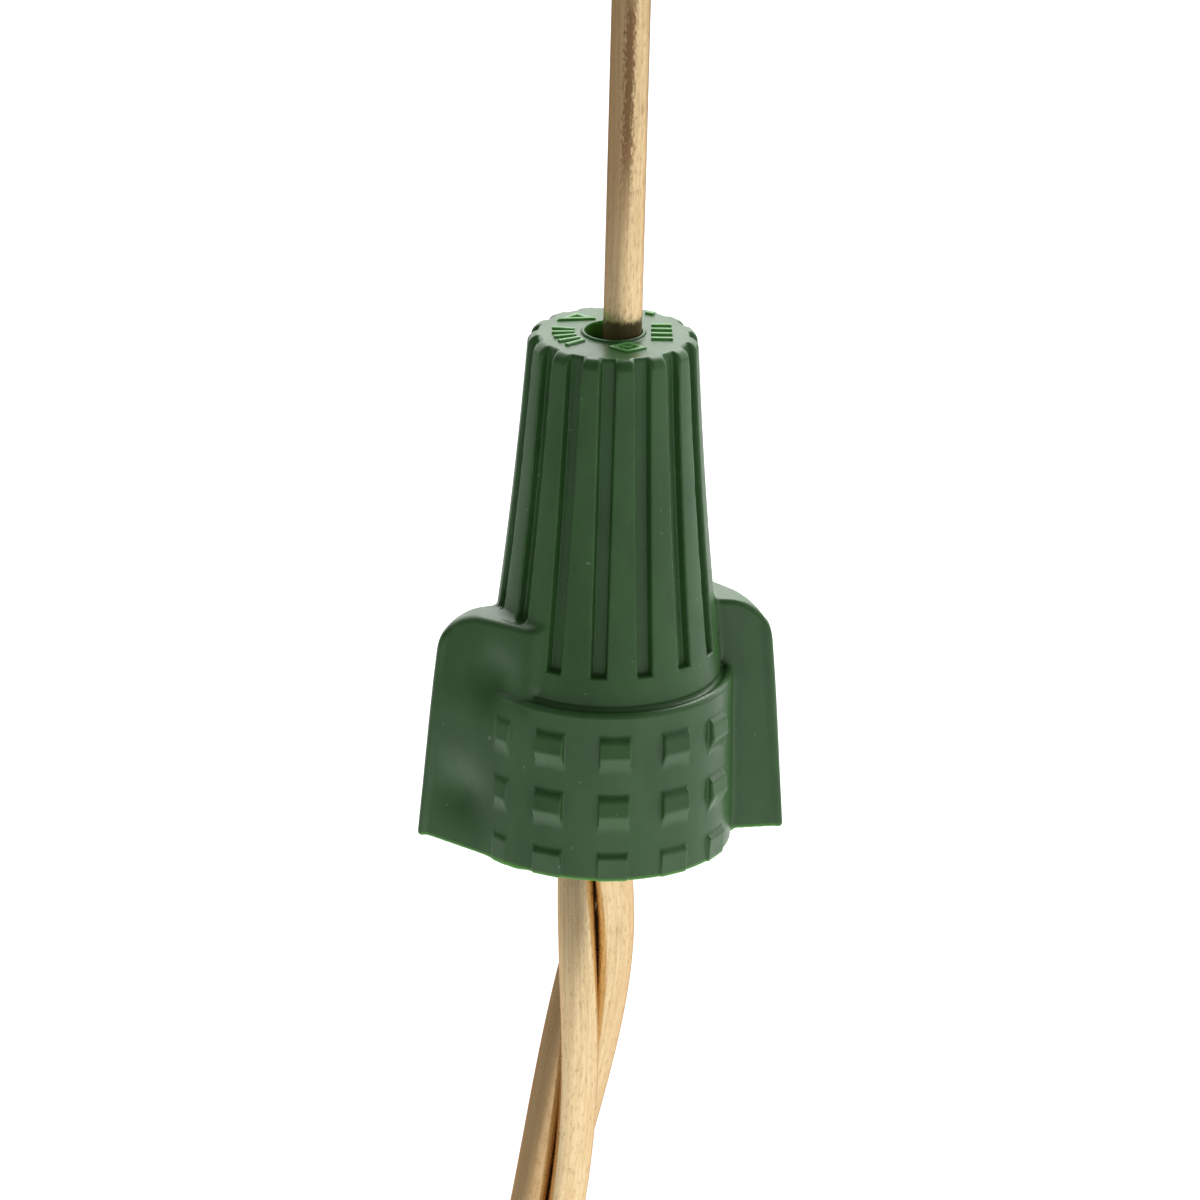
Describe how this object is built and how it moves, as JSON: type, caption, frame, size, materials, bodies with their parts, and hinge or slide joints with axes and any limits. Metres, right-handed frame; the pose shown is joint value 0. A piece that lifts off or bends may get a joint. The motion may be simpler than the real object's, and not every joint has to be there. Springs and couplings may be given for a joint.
{
  "type": "twist wire connector",
  "caption": "Winged twist-on wire connector with an open crown, ribbed cone, padded skirt and coil spring, on three twisted bare copper wires.",
  "frame": {"origin": "centre of the shell's mouth, in the plane of its bottom rim", "axes": "+Z along the connector's axis, from the mouth up to the crown; +X towards one wing's tip, nearly"},
  "size_m": [0.0196, 0.0146, 0.074],
  "materials": {
    "green_plastic": "satin moulded thermoplastic",
    "spring_steel": "drawn square spring wire, zinc washed",
    "bare_copper": "drawn bare copper, lightly aged"
  },
  "bodies": {
    "wires": {"through_wire": "bare_copper", "branch_wire_1": "bare_copper", "branch_wire_2": "bare_copper"},
    "spring_carrier": {"spring": "spring_steel"},
    "shell": {"shell": "green_plastic"}
  },
  "joints": [
    {"name": "unscrew_lift", "type": "slide", "parent": "wires", "child": "spring_carrier", "axis": [0, 0, 1], "range_m": [0, 0.0156]},
    {"name": "unscrew_turn", "type": "hinge", "parent": "spring_carrier", "child": "shell", "pos_m": [0, 0, 0], "axis": [0, 0, 1], "range_deg": [0, 4320]}
  ],
  "couplings": [
    {"joint": "unscrew_turn", "follows": "unscrew_lift", "rad_per_m": 4833.2}
  ]
}
